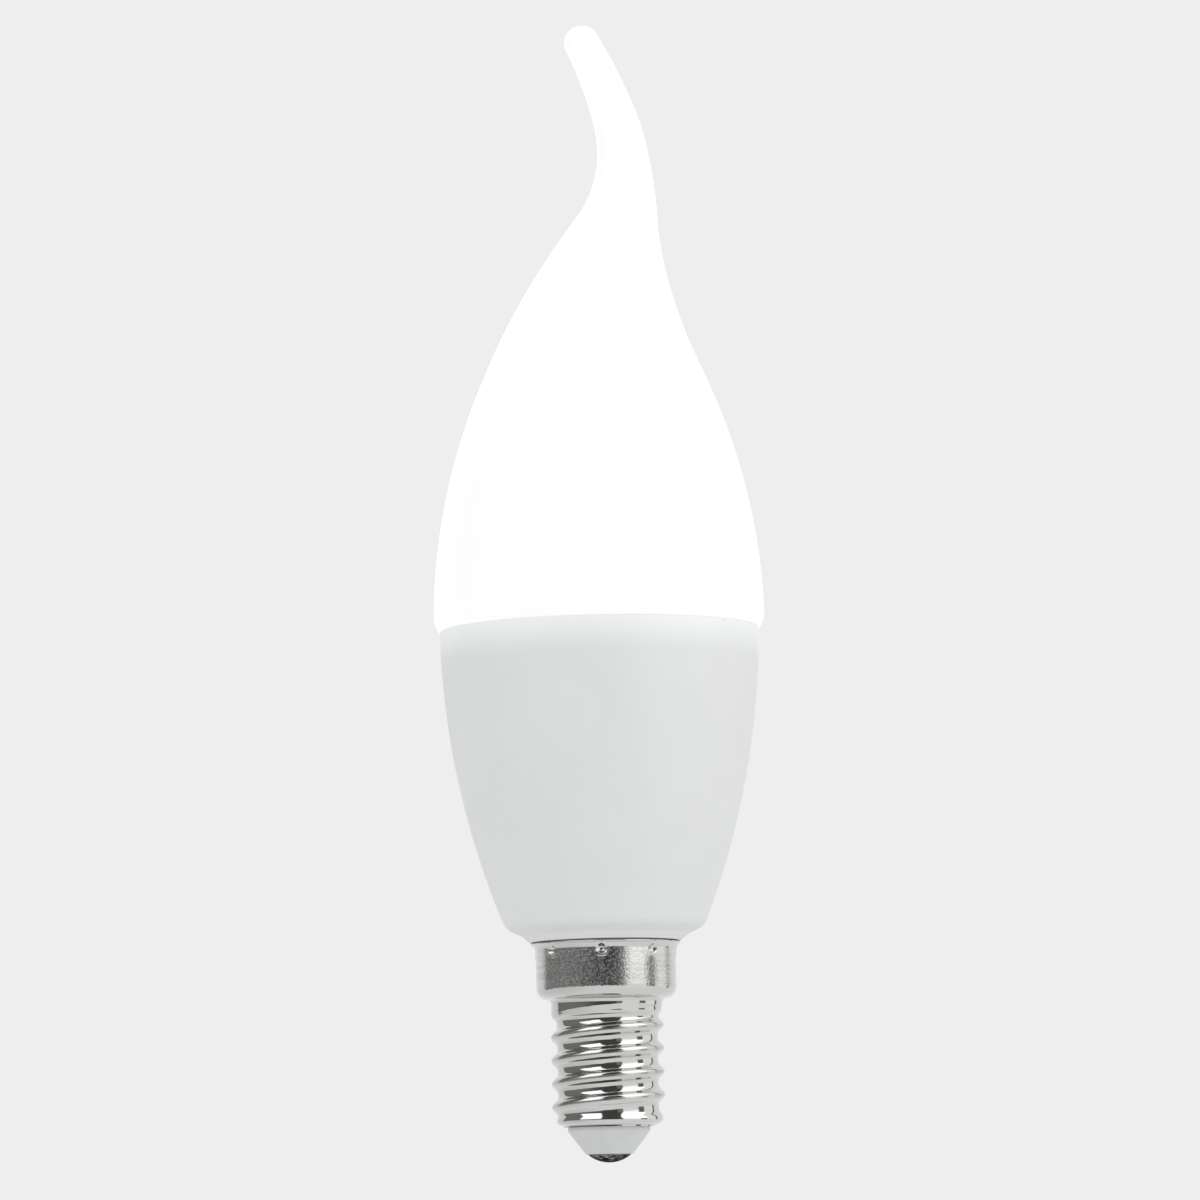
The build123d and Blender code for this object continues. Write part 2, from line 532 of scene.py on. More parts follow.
@dataclass(frozen=True)
class InsulatorFinish:
    """Light-grey moulded plastic with a satin skin."""

    light: Colour = (0.63, 0.644, 0.64)
    dark: Colour = (0.6, 0.614, 0.61)
    roughness: Point = (0.38, 0.52)
    grain: Point = (0.18, 2.4)
    grain_depth: float = 0.012
    rings: Point = (0.3, 14.0)
    ring_height: float = 0.6

    def material(self, effects: Effects) -> Material:
        """Make the material: cloudy tone, faint mould rings and satin grain.

        Args:
            effects: Node groups.

        Returns:
            The material.
        """
        material, board, shader = new_material("insulator_plastic")
        grain = board.group(effects.grain, *self.grain)
        rings = board.group(effects.lines, *self.rings)
        height = board.plus(grain["Height"], board.times(rings["Height"], self.ring_height))
        inputs = {
            "Base Color": board.mix(grain["Tone"], self.dark, self.light),
            "Roughness": board.ramp(grain["Height"], NOISE_RANGE, self.roughness),
            "Normal": board.bump(height, self.grain_depth),
        }
        board.feed(shader, inputs)
        return material


@dataclass(frozen=True)
class NickelFinish:
    """Nickel plating over a drawn sleeve: grainy on the skirt, bright in the thread, worn on its crests."""

    bright: Colour = (0.665, 0.662, 0.65)
    dull: Colour = (0.6, 0.595, 0.58)
    neck_levels: Point = (19.25, 19.45)
    crest_radii: Point = (6.795, 6.8195)
    crest_wear: Point = (0.55, 1.0)
    skirt_start: Point = (20.7, 21.3)
    skirt_end: Point = (25.5, 26.0)
    roughness: float = 0.085
    worn_roughness: float = 0.34
    skirt_roughness: float = 0.07
    skirt_scatter: Easing = ((0.44, 0.6), (0.0, 0.19))
    streak_dark: Colour = (0.62, 0.617, 0.605)
    streak_light: Colour = (0.69, 0.687, 0.675)
    streak_limits: Point = (0.36, 0.64)
    peel: Point = (0.24, 2.6)
    peel_depth: float = 0.03
    thread_peel: float = 0.06
    lines: Point = (0.3, 30.0)
    line_depth: float = 0.01

    def material(self, effects: Effects) -> Material:
        """Make the material: plating grain on the skirt, draw lines, and worn crests of the thread.

        Args:
            effects: Node groups.

        Returns:
            The material.
        """
        material, board, shader = new_material("nickel_plating")
        level = board.level()
        grain = board.group(effects.grain, *self.peel)
        lines = board.group(effects.lines, *self.lines)
        under = board.ramp(level, self.neck_levels, DOWN)
        worn = board.times(under, board.ramp(board.reach(), self.crest_radii))
        worn = board.times(worn, board.ramp(grain["Tone"], UP, self.crest_wear))
        skirt = board.times(board.ramp(level, self.skirt_start), board.ramp(level, self.skirt_end, DOWN))
        streaks = board.ramp(lines["Height"], self.streak_limits)
        streaks = board.mix(streaks, self.streak_dark, self.streak_light)
        plain = board.plus(self.roughness, board.times(skirt, self.skirt_roughness - self.roughness))
        scatter = board.ramp(grain["Height"], *self.skirt_scatter)
        peel = board.plus(self.thread_peel, board.times(skirt, 1.0 - self.thread_peel))
        drawn = board.times(lines["Height"], self.line_depth / self.peel_depth)
        height = board.plus(board.times(grain["Height"], peel), drawn)
        inputs = {
            "Base Color": board.mix(skirt, board.mix(worn, self.bright, self.dull), streaks),
            "Roughness": board.plus(plain, board.times(worn, self.worn_roughness - self.roughness)),
            "Metallic": board.math("SUBTRACT", 1.0, board.times(skirt, scatter)),
            "Normal": board.bump(height, self.peel_depth),
        }
        board.feed(shader, inputs)
        return material


@dataclass(frozen=True)
class ContactFinish:
    """Dark, mottled metal of the centre contact, with painted shade towards its tip and a painted lighter
    edge.
    """

    dark: Colour = grey(0.004)
    light: Colour = (0.54, 0.535, 0.52)
    glancing: Colour = grey(0.2)
    # Painted light: a lighter colour on the contact's edge wall, set against the shade that falls there under
    # the insulator.
    edge: Colour = (0.3, 0.3, 0.296)
    # Painted shade: below the crown the tarnish patches are darkened towards the tip, in place of the dark
    # reflection from below.
    crown: float = 0.78
    painted_tip_shade: Point = (0.25, 1.0)
    edge_level: float = 1.02
    metallic: float = 0.85
    specular: float = 0.2
    roughness: Easing = ((0.25, 0.75), (0.16, 0.44))
    mottle: Point = (0.55, 0.5)
    scratches: Point = (0.14, 5.0)
    scratch_share: Easing = ((0.38, 0.62), (0.1, 1.0))
    scratch_height: float = 0.3
    depth: float = 0.09

    def material(self, effects: Effects) -> Material:
        """Make the material: patches of tarnish on fine scratches, darkened towards the tip as painted shade,
        with a painted lighter edge.

        Args:
            effects: Node groups.

        Returns:
            The material.
        """
        material, board, shader = new_material("contact_metal")
        level = board.level()
        mottle = board.group(effects.grain, *self.mottle)
        scratches = board.group(effects.lines, *self.scratches)
        tarnish_and_shade = board.times(mottle["Tone"], board.ramp(scratches["Height"], *self.scratch_share))
        # Painted shade: darken the tarnish patches towards the tip.
        tarnish_and_shade = board.times(tarnish_and_shade, board.ramp(level, (0.0, self.crown), self.painted_tip_shade))
        # Painted light: the edge above the crown takes the lighter edge colour.
        rim = board.ramp(level, (self.crown, self.edge_level))
        height = board.plus(mottle["Height"], board.times(scratches["Height"], self.scratch_height))
        inputs = {
            "Base Color": board.mix(rim, board.mix(tarnish_and_shade, self.dark, self.light), self.edge),
            "Metallic": self.metallic,
            "Specular IOR Level": self.specular,
            "Specular Tint": self.glancing,
            "Roughness": board.ramp(mottle["Height"], *self.roughness),
            "Normal": board.bump(height, self.depth),
        }
        board.feed(shader, inputs)
        return material


Finish = OpalFinish | HousingFinish | InsulatorFinish | NickelFinish | ContactFinish


@dataclass
class SubAssembly:
    """What the sub-assemblies share: a turned piece that stands for a node of the part."""

    name: ClassVar[str]
    node: ClassVar[Node]
    slot: ClassVar[Slot]
    finish: ClassVar[Finish]
    sharp: ClassVar[float] = 40.0
    round_steps: ClassVar[int] = 4
    steps: int = 160

    def outline(self) -> list[Point]:
        """Give the outline to turn, which each sub-assembly draws."""
        raise NotImplementedError

    def form(self, piece: Piece) -> None:
        """Form the turned piece further, where a sub-assembly needs it."""

    def build(self) -> Piece:
        """Turn the piece, form it and shade it smooth between its sharp edges.

        Returns:
            The piece.
        """
        piece = Bench.turned(self.name, self.outline(), self.steps)
        self.form(piece)
        bpy.ops.object.shade_smooth_by_angle(angle=math.radians(self.sharp))
        return piece

    def dress(self, effects: Effects) -> None:
        """Build the piece and put it in place of its node, in its finish.

        Args:
            effects: Node groups.
        """
        piece = self.build()
        piece.data.materials.append(self.finish.material(effects))
        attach(piece, "root")
        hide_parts(self.node.value)
        LOG.info("%s stands for %s: %d faces", piece.name, self.node.value, len(piece.data.polygons))


@dataclass
class CentreContact(SubAssembly):
    """Domed button of the centre contact on its shank."""

    name = "contact_button"
    node = Node.CONTACT
    slot = Slot.CONTACT
    finish = ContactFinish()
    radius: float = 2.6
    dome: float = 0.95
    edge: float = 0.25
    edge_round: float = 0.1
    shank_radius: float = 1.2
    shank_top: float = 6.85
    shank_round: float = 0.1
    steps: int = 128
    dome_steps: int = 28

    def outline(self) -> list[Point]:
        """Draw the dome, its rounded edge, the flat back and the shank.

        Returns:
            Its points.
        """
        bulge = (self.dome**2 + self.radius**2) / (2.0 * self.dome)
        back = self.dome + self.edge
        dome = Outline.bowed((0.0, 0.0), (self.radius, self.dome), bulge, self.dome_steps)
        corners = [
            (self.radius, self.dome, 0.0),
            (self.radius, back, self.edge_round),
            (self.shank_radius, back, 0.0),
            (self.shank_radius, self.shank_top, self.shank_round),
            (0.0, self.shank_top, 0.0),
        ]
        return [(0.0, 0.0), *dome, *Outline.rounded(corners, self.round_steps)[1:]]


@dataclass
class Insulator(SubAssembly):
    """Cone and plug in the opening of the cap."""

    name = "contact_insulator"
    node = Node.INSULATOR
    slot = Slot.INSULATOR
    finish = InsulatorFinish()
    sharp = 35.0
    round_steps = 6
    bore: float = 1.25
    seat_level: float = 1.2
    seat_radius: float = 2.63
    seat_round: float = 0.02
    nose_level: float = 1.0
    nose_radius: float = 2.85
    nose_round: float = 0.34
    plug_level: float = 3.8
    plug_radius: float = 4.97
    plug_round: float = 0.2
    ledge_level: float = 4.65
    flange_radius: float = 5.62
    top_level: float = 6.85
    edge_round: float = 0.08

    def outline(self) -> list[Point]:
        """Draw the closed outline of cone, plug, flange and bore.

        Returns:
            Its points.
        """
        corners = [
            (self.bore, self.seat_level, 0.0),
            (self.seat_radius, self.seat_level, 0.0),
            (self.seat_radius, self.nose_level, self.seat_round),
            (self.nose_radius, self.nose_level, self.nose_round),
            (self.plug_radius, self.plug_level, self.plug_round),
            (self.plug_radius, self.ledge_level, 0.0),
            (self.flange_radius, self.ledge_level, self.edge_round),
            (self.flange_radius, self.top_level, self.edge_round),
            (self.bore, self.top_level, 0.0),
            (self.bore, self.seat_level, 0.0),
        ]
        return Outline.rounded(corners, self.round_steps)


@dataclass
class ScrewCap(SubAssembly):
    """Drawn sleeve with a round right-hand thread, a crimped skirt and a flared rim."""

    name = "nickel_cap"
    node = Node.CAP
    slot = Slot.CAP
    finish = NickelFinish()
    sharp = 42.0
    # Lip with the bead above it.
    lip_level: float = 4.25
    lip_radius: float = 5.5
    lip_edge: float = 0.18
    lip_height: float = 0.87
    lip_step: float = 0.05
    bead: float = 0.26
    bead_level: float = 5.04
    bead_reach: float = 0.9
    bead_blend: float = 0.08
    opening_radius: float = 5.02
    ledge_level: float = 4.65
    bore_radius: float = 5.67
    # Thread, which deepens below its start and runs out above the lip.
    crest_radius: float = 6.83
    crest_share: float = 0.4
    thread_depth: float = 0.76
    pitch: float = 2.822
    phase: float = 43.0
    helix_level: float = 19.75
    start: Point = (17.2, 18.85)
    fade_in: float = 0.11
    run_out: Point = (3.9, 6.2)
    row_step: float = 0.115
    # Cone that leads from the neck into the thread.
    lead: float = 0.13
    lead_top: float = 19.0
    lead_slope: float = 0.3
    lead_depth: float = 0.22
    lead_fade: Point = (0.75, 0.95)
    lead_end: Point = (0.25, 0.6)
    lead_blend: float = 0.05
    lead_edge: float = 0.03
    # Neck, shoulder, skirt and flared rim.
    neck_level: float = 19.08
    neck_radius: float = 6.75
    neck_round: float = 0.6
    shoulder_round: float = 1.4
    shoulder_start: float = 21.15
    shoulder_steps: int = 16
    skirt_radius: float = 8.5
    skirt_top: float = 25.68
    flare_radius: float = 9.02
    flare_top: float = 26.38
    flare_round: float = 0.95
    flare_steps: int = 10
    rim_radius: float = 9.1
    rim_level: float = 26.58
    rim_round: float = 0.1
    wall: float = 0.4
    floor_level: float = 21.25
    # Crimp points, each with the lip that its tool raises.
    crimp_count: int = 8
    crimp_phase: float = -93.4
    crimp_level: float = 25.48
    crimp_radius: float = 0.72
    crimp_floor: float = 0.18
    crimp_depth: float = 0.32
    crimp_lip: float = 0.06
    crimp_lip_width: float = 0.18
    crimp_reach: float = 1.0
    crimp_step: float = 0.085
    steps: int = 320

    def outline(self) -> list[Point]:
        """Draw the sleeve with a plain barrel and skirt, closed along its bore.

        Returns:
            Its points.
        """
        lip_end = self.lip_level + self.lip_height
        barrel = Outline.rows(self.lip_level, lip_end, self.lip_step)
        barrel += Outline.rows(lip_end, self.neck_level, self.row_step)[1:]
        pits = Outline.rows(self.crimp_level - self.crimp_reach, self.skirt_top, self.crimp_step)
        outline = [(self.opening_radius, self.lip_level)]
        outline += [(self.crest_radius, level) for level in barrel]
        outline += self.shoulder()
        outline += [(self.skirt_radius, level) for level in pits]
        flare = (self.flare_radius, self.flare_top)
        outline += Outline.bowed(outline[-1], flare, -self.flare_round, self.flare_steps)
        inner = self.skirt_radius - self.wall
        corners = [
            (*flare, 0.0),
            (self.rim_radius, self.rim_level, self.rim_round),
            (self.rim_radius - self.wall, self.rim_level, self.rim_round),
            (inner, self.skirt_top, 0.0),
            (inner, self.floor_level, 0.0),
            (self.bore_radius, self.floor_level, 0.0),
            (self.bore_radius, self.ledge_level, 0.0),
            (self.opening_radius, self.ledge_level, 0.0),
            (self.opening_radius, self.lip_level, 0.0),
        ]
        return outline + Outline.rounded(corners, self.round_steps)[1:]

    def form(self, piece: Piece) -> None:
        """Press the thread and the crimp points into the sleeve, which no operator does along a helix.

        Args:
            piece: Turned sleeve.
        """
        for vertex in piece.data.vertices:
            radius = math.hypot(vertex.co.x, vertex.co.y)
            angle = math.degrees(math.atan2(vertex.co.y, vertex.co.x))
            ratio = self.radius_at(radius / MM, angle, vertex.co.z / MM) * MM / radius
            vertex.co.x *= ratio
            vertex.co.y *= ratio
        piece.data.update()

    def shoulder(self) -> list[Point]:
        """Draw the hollow and the round that lead from the neck out to the skirt.

        Returns:
            The points of the shoulder, from the neck upwards.
        """
        curves = self.neck_round + self.shoulder_round
        turn = math.acos(1.0 - (self.skirt_radius - self.neck_radius) / curves)
        neck = (self.neck_radius, self.shoulder_start - curves * math.sin(turn))
        meet = (
            self.neck_radius + self.neck_round * (1.0 - math.cos(turn)),
            neck[1] + self.neck_round * math.sin(turn),
        )
        skirt = (self.skirt_radius, self.shoulder_start)
        hollow = Outline.bowed(neck, meet, -self.neck_round, self.shoulder_steps)
        return [neck, *hollow, *Outline.bowed(meet, skirt, self.shoulder_round, self.shoulder_steps)]

    def thread_sink(self, away: float) -> float:
        """Give how far the thread lies below its crest, on alternate arcs of crest and root.

        Args:
            away: Distance from the middle of the crest along the axis, up to half the pitch.

        Returns:
            The depth below the crest.
        """
        half = self.pitch / 2.0
        curves = (half**2 + self.thread_depth**2) / (2.0 * self.thread_depth)
        crest, root = self.crest_share * curves, (1.0 - self.crest_share) * curves
        if away < self.crest_share * half:
            return crest - math.sqrt(crest**2 - away**2)
        return self.thread_depth - root + math.sqrt(root**2 - (half - away) ** 2)

    def thread_radius_at(self, angle: float, level: float) -> float:
        """Give the radius of the thread, which follows a helix down from the cone at the neck.

        Args:
            angle: Angle in degrees, from +X towards +Y.
            level: Height.

        Returns:
            The radius at that place.
        """
        along = ((self.phase - angle) % TURN) / TURN
        below = (self.helix_level - level) / self.pitch - along
        ridge = max(0, round(below))
        away = min(self.pitch / 2.0, abs(below - ridge) * self.pitch) if below > 0.0 else 0.0
        begun = 1.0 - smooth_step(*self.start, level)
        started = smooth_step(0.0, self.fade_in, along + max(0, math.floor(below)))
        near = (1.0 - smooth_step(*self.lead_end, below)) * (1.0 - smooth_step(*self.lead_fade, along))
        under = min(self.lead_top, self.helix_level + self.lead - along * self.pitch) - level
        cone = self.lead_slope * larger(under, 0.0, self.lead_blend)
        cone = -larger(-cone, -self.lead_depth, self.lead_edge)
        neck = (self.crest_radius - self.neck_radius) * (1.0 - begun) + cone * started * near
        sink = larger(self.thread_sink(away) * begun * started, neck, self.lead_edge * near)
        ridge_level = self.helix_level - (ridge + along) * self.pitch
        height = (self.thread_depth - sink) * smooth_step(*self.run_out, ridge_level)
        return self.crest_radius - self.thread_depth + height

    def crimp_sink(self, angle: float, level: float) -> float:
        """Give how far the crimp points sink the skirt.

        Args:
            angle: Angle in degrees, from +X towards +Y.
            level: Height.

        Returns:
            The depth below the skirt, which is below zero on the lip round a point.
        """
        spacing = TURN / self.crimp_count
        turn = (angle - self.crimp_phase + spacing / 2.0) % spacing - spacing / 2.0
        away = math.hypot(math.radians(turn) * self.skirt_radius, level - self.crimp_level)
        share = 1.0 - smooth_step(self.crimp_floor, self.crimp_radius, away)
        lip = math.exp(-(((away - self.crimp_radius) / self.crimp_lip_width) ** 2))
        return self.crimp_depth * share - self.crimp_lip * lip

    def radius_at(self, radius: float, angle: float, level: float) -> float:
        """Give the finished radius of a point of the turned sleeve.

        Args:
            radius: Radius as turned.
            angle: Angle in degrees, from +X towards +Y.
            level: Height.

        Returns:
            The radius after the thread is rolled and the crimp points are pressed.
        """
        if radius > self.bore_radius + self.wall and level <= self.neck_level + TOLERANCE:
            bead = self.crest_radius - self.thread_depth
            bead += self.bead * (1.0 - smooth_step(0.0, self.bead_reach, level - self.bead_level))
            thread = larger(self.thread_radius_at(angle, level), bead, self.bead_blend)
            thread = min(thread, self.crest_radius)
            rise = (level - self.lip_level - self.lip_edge) / (self.lip_height - self.lip_edge)
            rise = min(1.0, max(0.0, rise))
            return self.lip_radius + (thread - self.lip_radius) * math.sqrt(1.0 - (1.0 - rise) ** 2)
        if radius > self.skirt_radius - TOLERANCE and level > self.crimp_level - self.crimp_reach:
            return radius - self.crimp_sink(angle, level)
        return radius


@dataclass
class Housing(SubAssembly):
    """Bell of plastic between the cap and the diffuser."""

    name = "bell_housing"
    node = Node.HOUSING
    slot = Slot.HOUSING
    finish = HousingFinish()
    nose_end: float = 12.85
    nose_radius: float = 5.57
    neck_end: float = 21.85
    neck_radius: float = 8.0
    neck_round: float = 0.2
    rim_level: float = 26.72
    collar_radius: float = 9.2
    collar_round: float = 0.2
    under_radius: float = 10.1
    collar_level: float = 27.55
    under_round: float = 0.5
    bottom_radius: float = 12.1
    bell_level: float = 28.5
    corner_round: float = 2.0
    corner_points: int = 4
    top_radius: float = 19.45
    seam_level: float = 64.75
    side_radius: float = 100.0
    side_steps: int = 64
    top_round: float = 0.12
    recess_radius: float = 17.6
    recess_level: float = 61.6
    recess_round: float = 0.1
    steps: int = 192
    base_steps: int = 8

    def outline(self) -> list[Point]:
        """Draw the closed outline of neck, collar, bell and recess, with its corners rounded.

        Returns:
            Its points.
        """
        bottom = (self.bottom_radius, self.bell_level)
        top = (self.top_radius, self.seam_level)
        side = Outline.bowed(bottom, top, self.side_radius, self.side_steps)
        base_corners = [
            (0.0, self.nose_end, 0.0),
            (self.nose_radius, self.nose_end, self.neck_round),
            (self.nose_radius, self.neck_end, 0.0),
            (self.neck_radius, self.neck_end, self.neck_round),
            (self.neck_radius, self.rim_level, 0.0),
            (self.collar_radius, self.rim_level, self.collar_round),
            (self.under_radius, self.collar_level, self.under_round),
            (*bottom, self.corner_round),
            (*side[self.corner_points], 0.0),
        ]
        top_corners = [
            (*side[-2], 0.0),
            (*top, self.top_round),
            (self.recess_radius, self.seam_level, self.recess_round),
            (self.recess_radius, self.recess_level, 0.0),
            (0.0, self.recess_level, 0.0),
        ]
        base = Outline.rounded(base_corners, self.base_steps)
        return base + side[self.corner_points + 1 : -2] + Outline.rounded(top_corners, self.round_steps)


@dataclass
class Diffuser(SubAssembly):
    """Opal dome drawn out into a bent flame tail with a round tip."""

    name = "opal_diffuser"
    node = Node.DIFFUSER
    slot = Slot.DIFFUSER
    finish = OpalFinish()
    sharp = 60.0
    seam_level: float = 64.75
    spigot_depth: float = 3.0
    spigot_radius: float = 17.45
    lip_width: float = 0.6
    lip_height: float = 1.9
    lip_bow: float = 2.0
    lip_steps: int = 12
    dome_radius: float = 20.16
    dome_side_radius: float = 75.5
    dome_steps: int = 56
    end_radius: float = 13.8
    tail_level: float = 95.25
    tail_straight: float = 2.4
    # Radius of each bend of the tail and its turn towards +X.
    tail_bends: tuple[Point, ...] = ((52.5, 19.8), (17.1, -19.8), (23.4, -17.8), (58.0, -9.6))
    taper: float = 24.1
    stem_radius: float = 2.0
    stem_taper: float = 2.45
    stem_blend: float = 2.1
    tip_length: float = 2.1
    rings: int = 84
    tip_rings: int = 10

    def tail_runs(self) -> list[Point]:
        """List the runs of the tail's middle line as length and turn towards +X in radians."""
        bends = [(radius, math.radians(turn)) for radius, turn in self.tail_bends]
        return [(self.tail_straight, 0.0)] + [(radius * abs(turn), turn) for radius, turn in bends]

    def tail_length(self) -> float:
        """Give the length of the tail's middle line."""
        return sum(length for length, _ in self.tail_runs())

    def tail_place(self, distance: float) -> tuple[Vector, float]:
        """Follow the tail's middle line.

        Args:
            distance: Distance along the line.

        Returns:
            The place in metres and the lean towards +X in radians.
        """
        x, z, lean = 0.0, self.tail_level, 0.0
        for length, turn in self.tail_runs():
            run = min(distance, length)
            end = lean + turn * run / length
            if turn:
                size = length / turn
                x += size * (math.cos(lean) - math.cos(end))
                z += size * (math.sin(end) - math.sin(lean))
            else:
                x += run * math.sin(lean)
                z += run * math.cos(lean)
            lean = end
            distance -= run
            if distance <= 0.0:
                break
        return Vector((x, 0.0, z)) * MM, lean

    def tail_radius(self, distance: float) -> float:
        """Give the radius of the tail, a cone that blends softly into a slender stem.

        Args:
            distance: Distance along the tail's middle line.

        Returns:
            The radius at that place.
        """
        length, slope = self.tail_length(), math.tan(math.radians(self.stem_taper))
        stem = self.stem_radius + (length - distance) * slope
        start = self.stem_radius + length * slope
        cone = self.end_radius - self.stem_blend**2 / (4.0 * (self.end_radius - start))
        cone -= distance * math.tan(math.radians(self.taper))
        return larger(cone, stem, self.stem_blend)

    def outline(self) -> list[Point]:
        """Draw the spigot, the lip and the dome up to the tail.

        Returns:
            Its points.
        """
        spigot_end = self.seam_level - self.spigot_depth
        outline = [(0.0, spigot_end), (self.spigot_radius, spigot_end), (self.spigot_radius, self.seam_level)]
        for i in range(self.lip_steps + 1):
            share = i / self.lip_steps
            inset = self.lip_width * (1.0 - share) ** self.lip_bow
            outline.append((self.dome_radius - inset, self.seam_level + self.lip_height * share))
        dome_end = (self.end_radius, self.tail_level)
        return outline + Outline.bowed(outline[-1], dome_end, self.dome_side_radius, self.dome_steps)

    def form(self, piece: Piece) -> None:
        """Draw the dome's top ring out along the tail's line and close it with a round tip.

        Args:
            piece: Turned dome.
        """
        for vertex in piece.data.vertices:
            vertex.select = vertex.co.z > (self.tail_level - TOLERANCE) * MM
        bpy.ops.object.mode_set(mode="EDIT")
        length = self.tail_length()
        middle, leaned = self.tail_place(0.0)[0], 0.0
        radius = self.tail_radius(0.0)
        for i in range(1, self.rings + 1):
            distance = length * i / self.rings
            place, lean = self.tail_place(distance)
            size = self.tail_radius(distance)
            lean = min(0.0, lean)
            Bench.grow_ring(middle, place, size / radius, lean - leaned)
            middle, radius, leaned = place, size, lean
        base, tip = middle, radius
        reach = Vector((math.sin(leaned), 0.0, math.cos(leaned))) * self.tip_length * MM
        for i in range(1, self.tip_rings + 1):
            turn = math.pi / 2.0 * i / self.tip_rings
            place, size = base + reach * math.sin(turn), tip * math.cos(turn)
            Bench.grow_ring(middle, place, size / radius)
            middle, radius = place, size
        bpy.ops.mesh.merge(type="CENTER")
        Bench.close()


@dataclass(frozen=True)
class Card:
    """A curved card that only shows as a reflection; azimuth 0 is towards the camera, 90 to its right."""

    name: str
    azimuth: Point
    elevation: Point
    near: float
    tone: Colour
    left_tone: Colour | None = None
    left_start: float = -0.1
    row_angle: float = 5.0
    step_angle: float = 4.0
    hidden_rays: tuple[str, ...] = ("camera", "diffuse", "shadow", "transmission")

    def build(self, centre: float) -> None:
        """Spin an upright arc clockwise into the card and give it its tone.

        Args:
            centre: Height of the middle of the card's sphere in metres.
        """
        arc = [math.radians(level) for level in Outline.rows(*self.elevation, self.row_angle)]
        outline = [(self.near / MM * math.cos(a), self.near / MM * math.sin(a)) for a in arc]
        span = self.azimuth[1] - self.azimuth[0]
        piece = Bench.turned(self.name, outline, max(2, round(span / self.step_angle)), math.radians(span))
        turn = Matrix.Rotation(math.radians(self.azimuth[1] - TURN / 4.0), 4, "Z")
        piece.data.transform(Matrix.Translation((0.0, 0.0, centre)) @ turn)
        for ray in self.hidden_rays:
            setattr(piece, f"visible_{ray}", False)
        material = bpy.data.materials.new(self.name)
        board = empty_board(material)
        x, _, _ = board.parts(board.add("ShaderNodeTexCoord").outputs["Object"])
        left = board.ramp(x, (self.left_start, -self.near))
        tone = board.mix(left, self.tone, self.left_tone or self.tone)
        glow = board.add("ShaderNodeEmission", {"Color": tone})
        board.add("ShaderNodeOutputMaterial", {"Surface": glow.outputs[0]})
        piece.data.materials.append(material)


@dataclass(frozen=True)
class Softbox:
    """A soft lamp seen from the bulb under the given angles."""

    name: str
    azimuth: Point
    elevation: Point
    near: float
    radiance: float

    def width(self, angles: Point) -> float:
        """Give the width that the given angles span at the lamp's distance."""
        return 2.0 * self.near * math.tan(math.radians(angles[1] - angles[0]) / 2.0)

    def build(self, target: Vector) -> None:
        """Hang the lamp and turn it towards the bulb.

        Args:
            target: Place that the lamp faces, in metres.
        """
        around = math.radians(sum(self.azimuth) / 2.0)
        above = math.radians(sum(self.elevation) / 2.0)
        flat = math.cos(above)
        way = Vector((math.sin(around) * flat, -math.cos(around) * flat, math.sin(above)))
        data = bpy.data.lights.new(self.name, "AREA")
        data.shape = "RECTANGLE"
        data.size = self.width(self.azimuth)
        data.size_y = self.width(self.elevation)
        data.energy = self.radiance * math.pi * data.size * data.size_y
        lamp = bpy.data.objects.new(self.name, data)
        lamp.location = target + way * self.near
        lamp.rotation_euler = (-way).to_track_quat("-Z", "Y").to_euler()
        lamp.visible_camera = False
        lamp.visible_glossy = False
        bpy.context.scene.collection.objects.link(lamp)


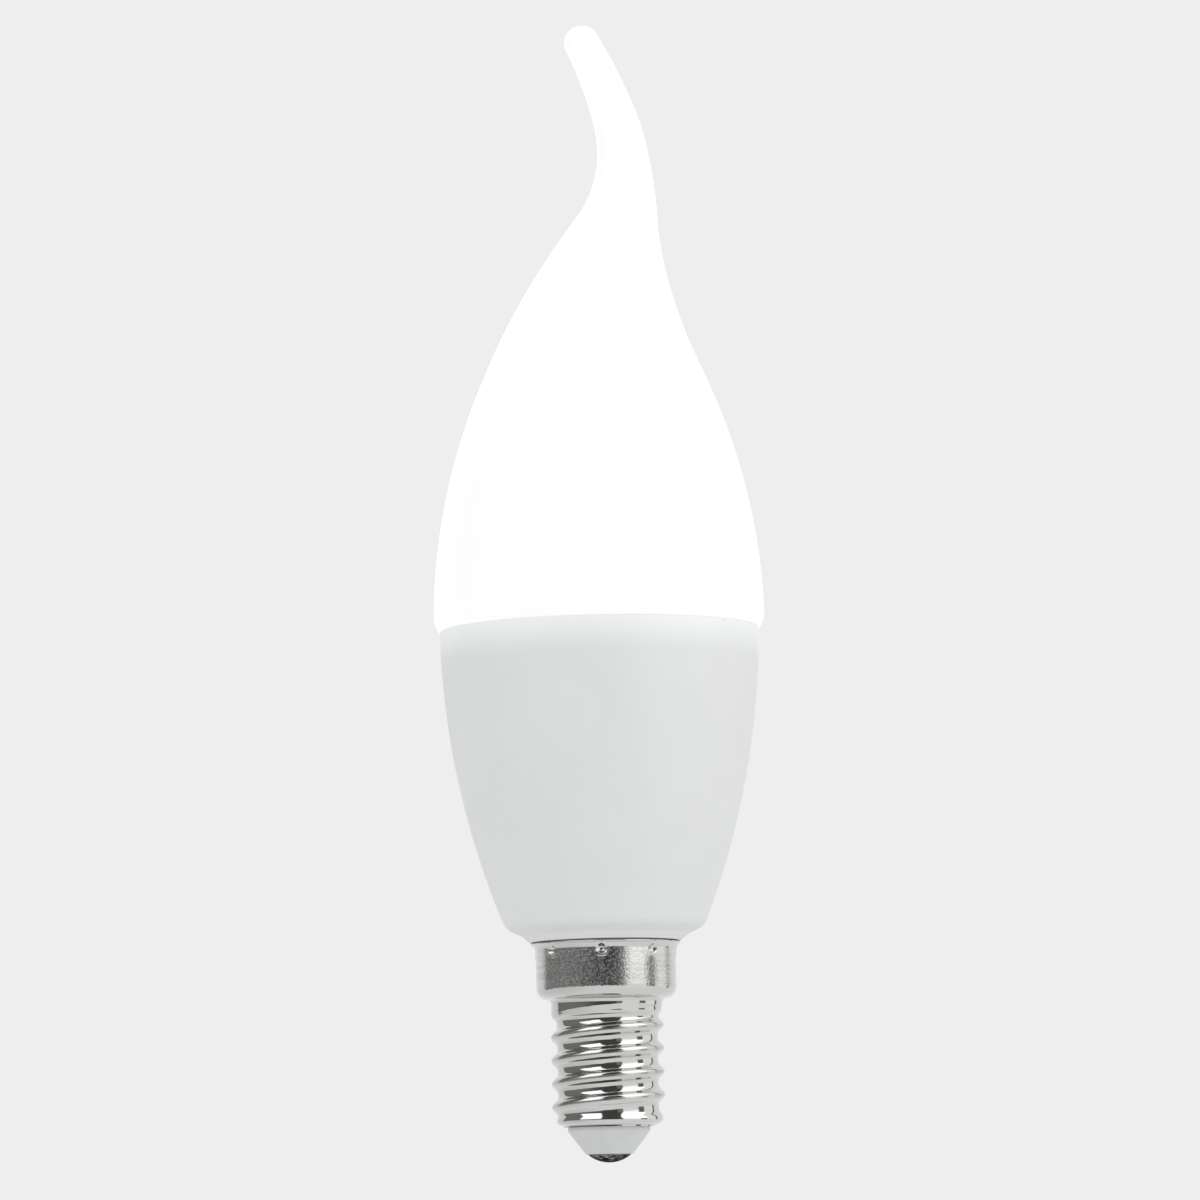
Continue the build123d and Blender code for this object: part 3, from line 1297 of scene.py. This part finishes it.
@dataclass
class Studio:
    """Pale floor and background, soft lamps, reflection cards and the camera; places in metres."""

    background: float = 0.855
    ambient: float = 0.92
    floor_level: float = -0.022
    floor_size: float = 6.0
    floor_colour: Colour = grey(0.9)
    floor_roughness: float = 0.9
    middle: float = 0.016
    camera_place: Triple = (0.0, -0.85, -0.018)
    camera_aim: Triple = (0.00017, 0.0, 0.06843)
    camera_roll: float = 1.15
    focal_length: float = 210.1
    sensor_width: float = 36.0
    clip: Point = (0.01, 50.0)
    softboxes: tuple[Softbox, ...] = (
        Softbox("right_softbox", (45.0, 87.0), (15.0, 55.0), 1.3, 0.6),
        Softbox("left_softbox", (-69.0, -18.0), (15.0, 60.0), 1.3, 0.12),
    )
    cards: tuple[Card, ...] = (
        Card("right_panel", (33.0, 72.0), (-30.0, 3.6), 0.55, grey(0.92)),
        Card("right_sheen", (33.0, 72.0), (3.6, 14.0), 0.55, grey(1.4)),
        Card("right_high", (31.0, 92.0), (14.0, 80.0), 0.55, grey(1.6)),
        Card("left_panel", (-69.0, -18.0), (15.0, 60.0), 0.55, grey(1.6)),
        Card("left_high", (-100.0, -15.0), (60.0, 84.0), 0.55, grey(1.3)),
        Card("dark_slope", (20.0, 33.0), (-12.0, 14.0), 0.6, grey(0.2)),
        Card("dark_front", (-121.0, 32.0), (-12.0, 65.0), 0.62, (0.065, 0.065, 0.064), grey(0.2)),
        Card("dark_gap", (72.0, 88.0), (-12.0, 65.0), 0.62, (0.145, 0.145, 0.142)),
        Card("beige_side", (88.0, 118.0), (-12.0, 65.0), 0.62, (0.98, 0.96, 0.91)),
        Card("dark_edge", (119.5, 125.0), (-12.0, 65.0), 0.62, grey(0.06)),
        Card("left_edge", (-180.0, -121.0), (-12.0, 65.0), 0.62, grey(0.855), grey(0.73)),
        Card("left_low", (-180.0, -10.0), (-75.0, -12.0), 0.62, grey(0.855), grey(0.71)),
        Card("grey_top", (-180.0, 180.0), (66.0, 88.0), 0.62, grey(0.42)),
    )

    def build(self) -> None:
        """Set up everything round the bulb."""
        bpy.context.scene.view_settings.view_transform = "Standard"
        self.lay_floor()
        self.light_world()
        for softbox in self.softboxes:
            softbox.build(Vector((0.0, 0.0, self.middle)))
        for card in self.cards:
            card.build(self.middle)
        self.place_camera()

    def lay_floor(self) -> None:
        """Lay a plain pale floor below the bulb."""
        bpy.ops.object.select_all(action="DESELECT")
        bpy.ops.mesh.primitive_plane_add(size=self.floor_size, location=(0.0, 0.0, self.floor_level))
        floor = bpy.context.object
        floor.name = "floor"
        floor.visible_glossy = False
        material, board, shader = new_material("pale_floor")
        board.feed(shader, {"Base Color": self.floor_colour, "Roughness": self.floor_roughness})
        floor.data.materials.append(material)

    def light_world(self) -> None:
        """Light the world evenly, and show the pale background to the camera and in reflections."""
        world = bpy.data.worlds.new("studio_world")
        bpy.context.scene.world = world
        board = empty_board(world)
        rays = board.add("ShaderNodeLightPath").outputs
        seen = board.math("MAXIMUM", rays["Is Camera Ray"], rays["Is Glossy Ray"])
        seen = board.math("MAXIMUM", seen, rays["Is Transmission Ray"])
        tone = board.mix(seen, grey(self.ambient), grey(self.background))
        sky = board.add("ShaderNodeBackground", {"Color": tone})
        board.add("ShaderNodeOutputWorld", {"Surface": sky.outputs[0]})

    def place_camera(self) -> None:
        """Place the camera a little below the bulb's middle, looking slightly up."""
        data = bpy.data.cameras.new("camera")
        data.lens = self.focal_length
        data.sensor_width = self.sensor_width
        data.clip_start, data.clip_end = self.clip
        camera = bpy.data.objects.new("camera", data)
        camera.location = self.camera_place
        way = Vector(self.camera_aim) - Vector(self.camera_place)
        roll = Quaternion((0.0, 0.0, 1.0), math.radians(-self.camera_roll))
        camera.rotation_mode = "QUATERNION"
        camera.rotation_quaternion = way.to_track_quat("-Z", "Y") @ roll
        bpy.context.scene.collection.objects.link(camera)
        bpy.context.scene.camera = camera


def main() -> None:
    """Build and dress the pieces from the contact upwards, then set up the studio."""
    logging.basicConfig(level=logging.INFO, format="%(name)s: %(message)s")
    effects = Effects()
    for sub_assembly in (CentreContact(), Insulator(), ScrewCap(), Housing(), Diffuser()):
        sub_assembly.dress(effects)
    Studio().build()


if __name__ == "__main__":
    main()
